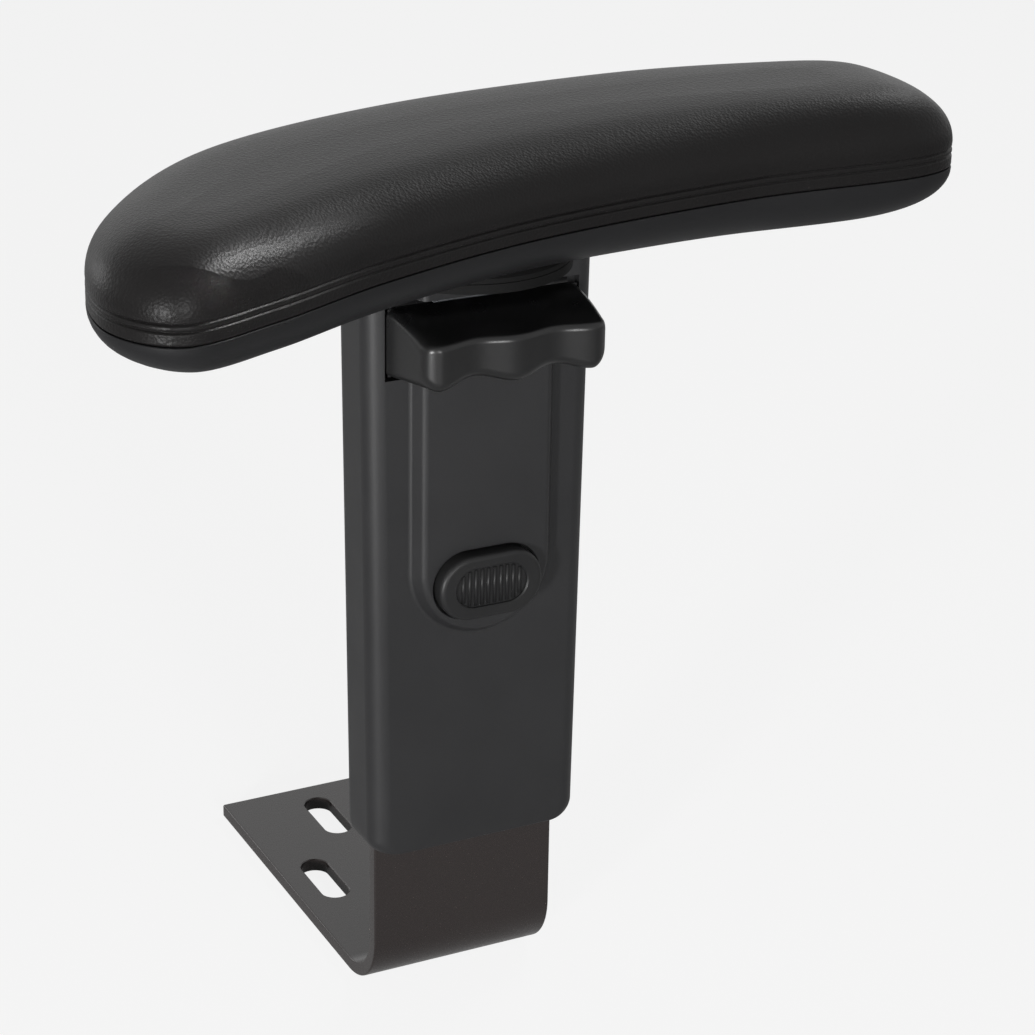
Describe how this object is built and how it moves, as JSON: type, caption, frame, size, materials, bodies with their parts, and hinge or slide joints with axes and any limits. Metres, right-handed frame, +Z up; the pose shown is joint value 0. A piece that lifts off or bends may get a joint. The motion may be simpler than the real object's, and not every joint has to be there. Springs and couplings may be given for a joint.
{
  "type": "chair armrest pad",
  "caption": "Height-adjustable chair armrest: curved padded top on a moulded sleeve that slides on a bent steel bracket, with a push button and a finger paddle.",
  "frame": {"origin": "on the foot's top face, at the centre of its three slots, which is where the seat's underside meets the bracket", "axes": "+Z up along the upright, +Y along the foot away from the upright, +X along the bar's width; the sleeve's outer face looks to -Y"},
  "size_m": [0.2871, 0.2143, 0.2835],
  "materials": {
    "coated_steel": "satin black powder coat over formed flat bar",
    "zinc_steel": "bright zinc-plated steel",
    "spring_steel": "drawn spring wire",
    "black_nylon": "fine spark-eroded texture on black glass-filled nylon",
    "natural_nylon": "natural nylon, smooth",
    "button_plastic": "satin black moulded plastic",
    "paddle_plastic": "satin black moulded plastic",
    "shell_plastic": "fine-textured black polypropylene",
    "core_board": "sawn plywood",
    "moulded_skin": "soft moulded polyurethane skin with a fine leather-like grain"
  },
  "bodies": {
    "bracket": {"bracket": "coated_steel", "bar_glides": "natural_nylon", "glide_rivets": "zinc_steel"},
    "sleeve": {"sleeve_front": "black_nylon", "sleeve_back": "black_nylon", "mouth_liner": "natural_nylon", "cover_screws": "zinc_steel", "button_guide": "natural_nylon", "guide_screws": "zinc_steel", "head_plate": "zinc_steel", "head_screws": "zinc_steel", "paddle_pin": "zinc_steel", "paddle_spring": "spring_steel", "pivot_stud": "zinc_steel", "pivot_nut": "zinc_steel", "thrust_washer": "zinc_steel", "button_spring": "spring_steel"},
    "button": {"button": "button_plastic", "latch_pin": "zinc_steel"},
    "paddle": {"paddle": "paddle_plastic", "index_teeth": "zinc_steel"},
    "pad": {"index_plate": "coated_steel", "index_screws": "zinc_steel", "pad_shell": "shell_plastic", "pad_core": "core_board", "pad_screws": "zinc_steel", "pad_cushion": "moulded_skin"}
  },
  "joints": [
    {"name": "height_slide", "type": "slide", "parent": "bracket", "child": "sleeve", "axis": [0, 0, 1], "range_m": [-0.02, 0.04]},
    {"name": "button_press", "type": "slide", "parent": "sleeve", "child": "button", "axis": [0, 1, 0], "range_m": [0, 0.003], "stiffness_N_per_m": 900, "springref_m": -0.004, "deforming": ["button_spring"]},
    {"name": "paddle_pull", "type": "hinge", "parent": "sleeve", "child": "paddle", "pos_m": [0, -0.0945, 0.2275], "axis": [-1, 0, 0], "range_deg": [0, 10], "stiffness_Nm_per_rad": 0.6, "springref_deg": -8.59, "deforming": ["paddle_spring"]},
    {"name": "pad_swivel", "type": "hinge", "parent": "sleeve", "child": "pad", "pos_m": [0, -0.08775, 0.2362], "axis": [0, 0, 1], "range_deg": [-35, 7]}
  ]
}
